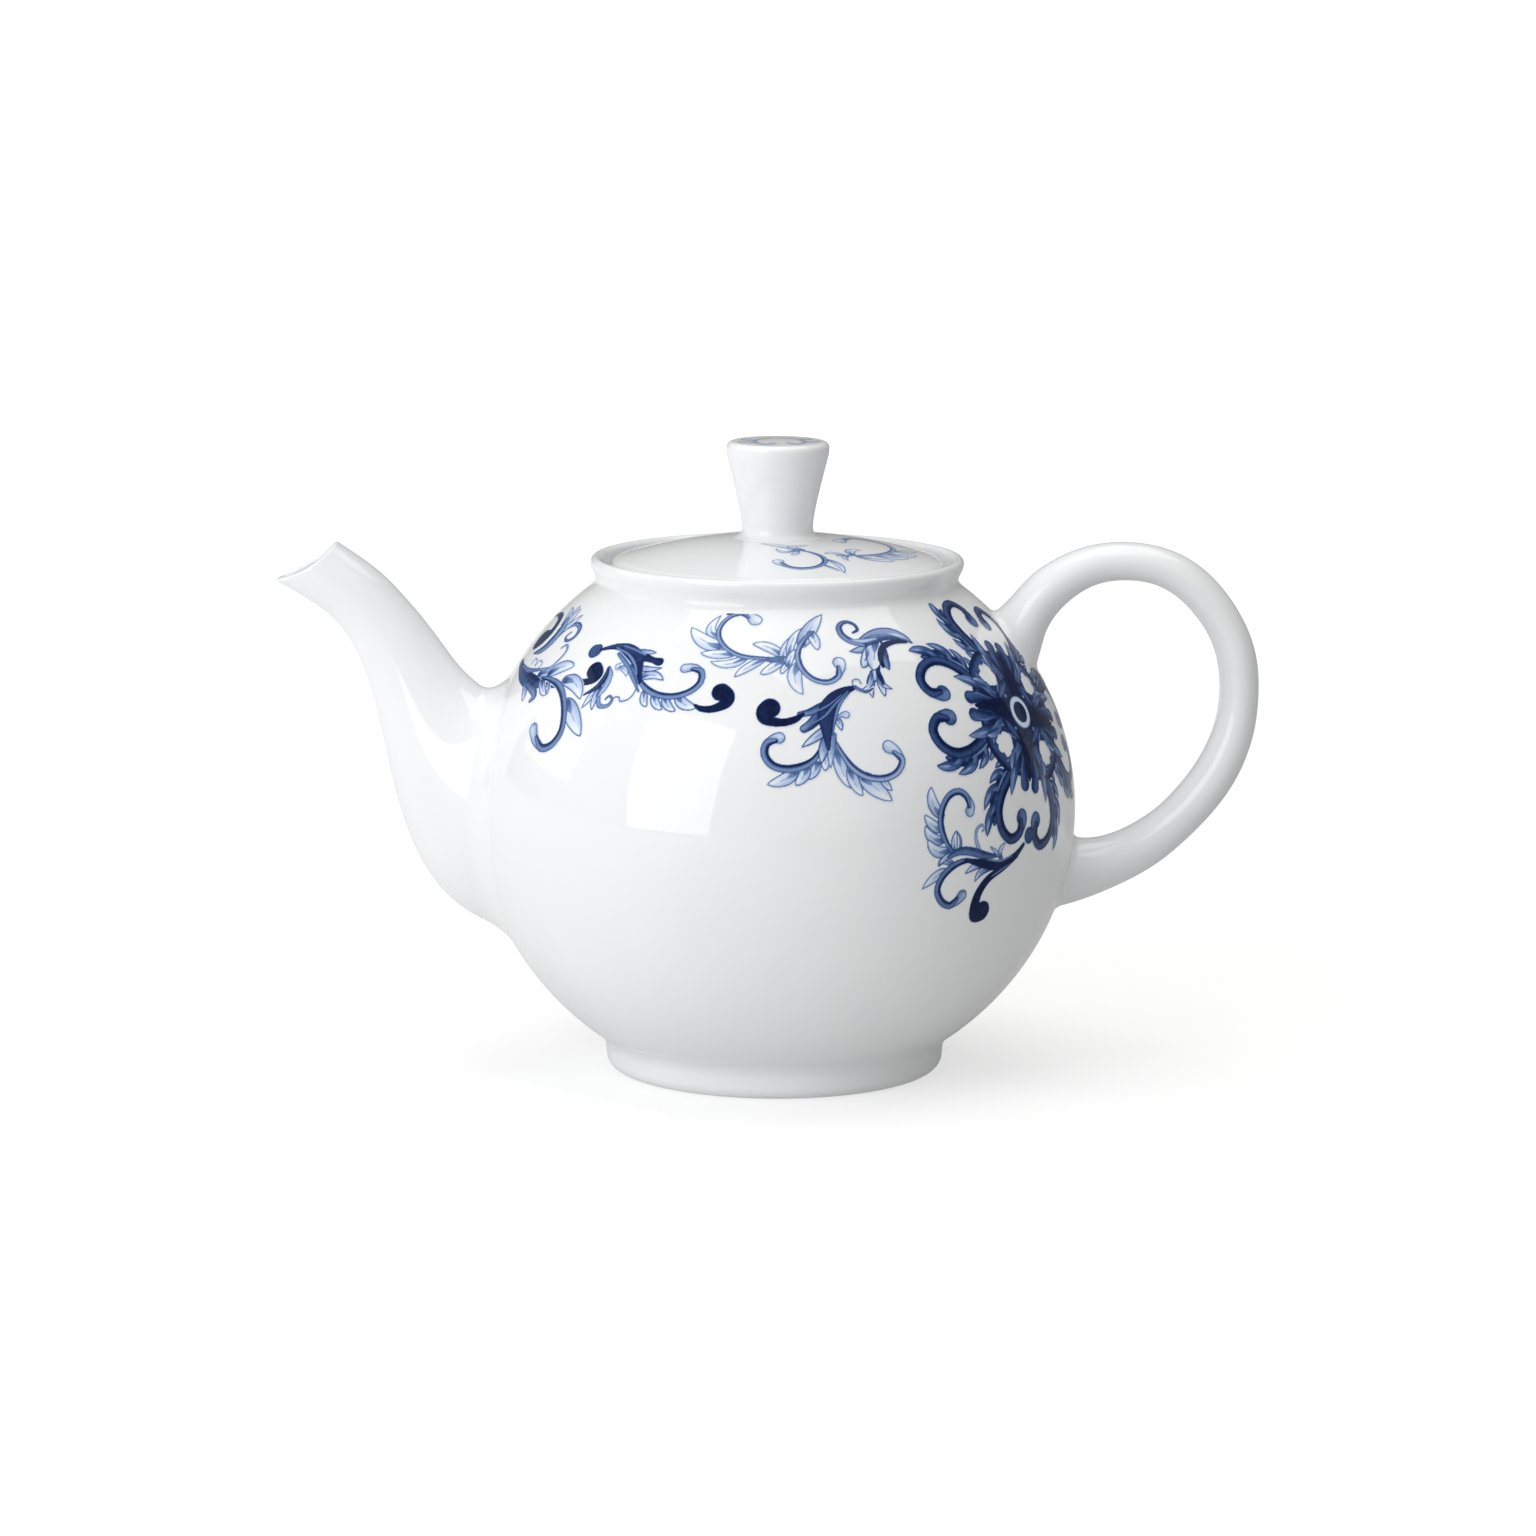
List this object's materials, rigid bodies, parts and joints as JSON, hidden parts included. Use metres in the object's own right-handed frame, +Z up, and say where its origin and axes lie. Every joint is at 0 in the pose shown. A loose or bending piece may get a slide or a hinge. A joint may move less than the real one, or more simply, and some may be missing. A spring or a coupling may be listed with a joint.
{
  "type": "teapot",
  "caption": "Round porcelain teapot with a curved spout, an ear-shaped handle, a foot ring and a lift-off domed lid with a tall knob, painted with blue scrolling leaves.",
  "frame": {"origin": "centre of the bounding box in X and Y, on the plane the foot ring stands on; the pot's own axis is 2 mm towards +X", "axes": "+Z up along the pot's axis, +X towards the handle and -X towards the spout, +Y away from the painted front"},
  "size_m": [0.2451, 0.15, 0.1583],
  "materials": {
    "glazed_porcelain": "polished",
    "cobalt_painting": "polished"
  },
  "bodies": {
    "pot": {"body_shell": "glazed_porcelain", "foot_ring": "glazed_porcelain", "neck_collar": "glazed_porcelain", "lid_seat": "glazed_porcelain", "spout": "glazed_porcelain", "spout_strainer": "glazed_porcelain", "handle": "glazed_porcelain"},
    "lid": {"lid_plate": "glazed_porcelain", "lid_flange": "glazed_porcelain", "lid_tongue": "glazed_porcelain", "lid_knob": "glazed_porcelain"}
  },
  "joints": [
    {"name": "lid_lift", "type": "slide", "parent": "pot", "child": "lid", "axis": [0, 0, 1], "range_m": [0, 0.06]}
  ]
}
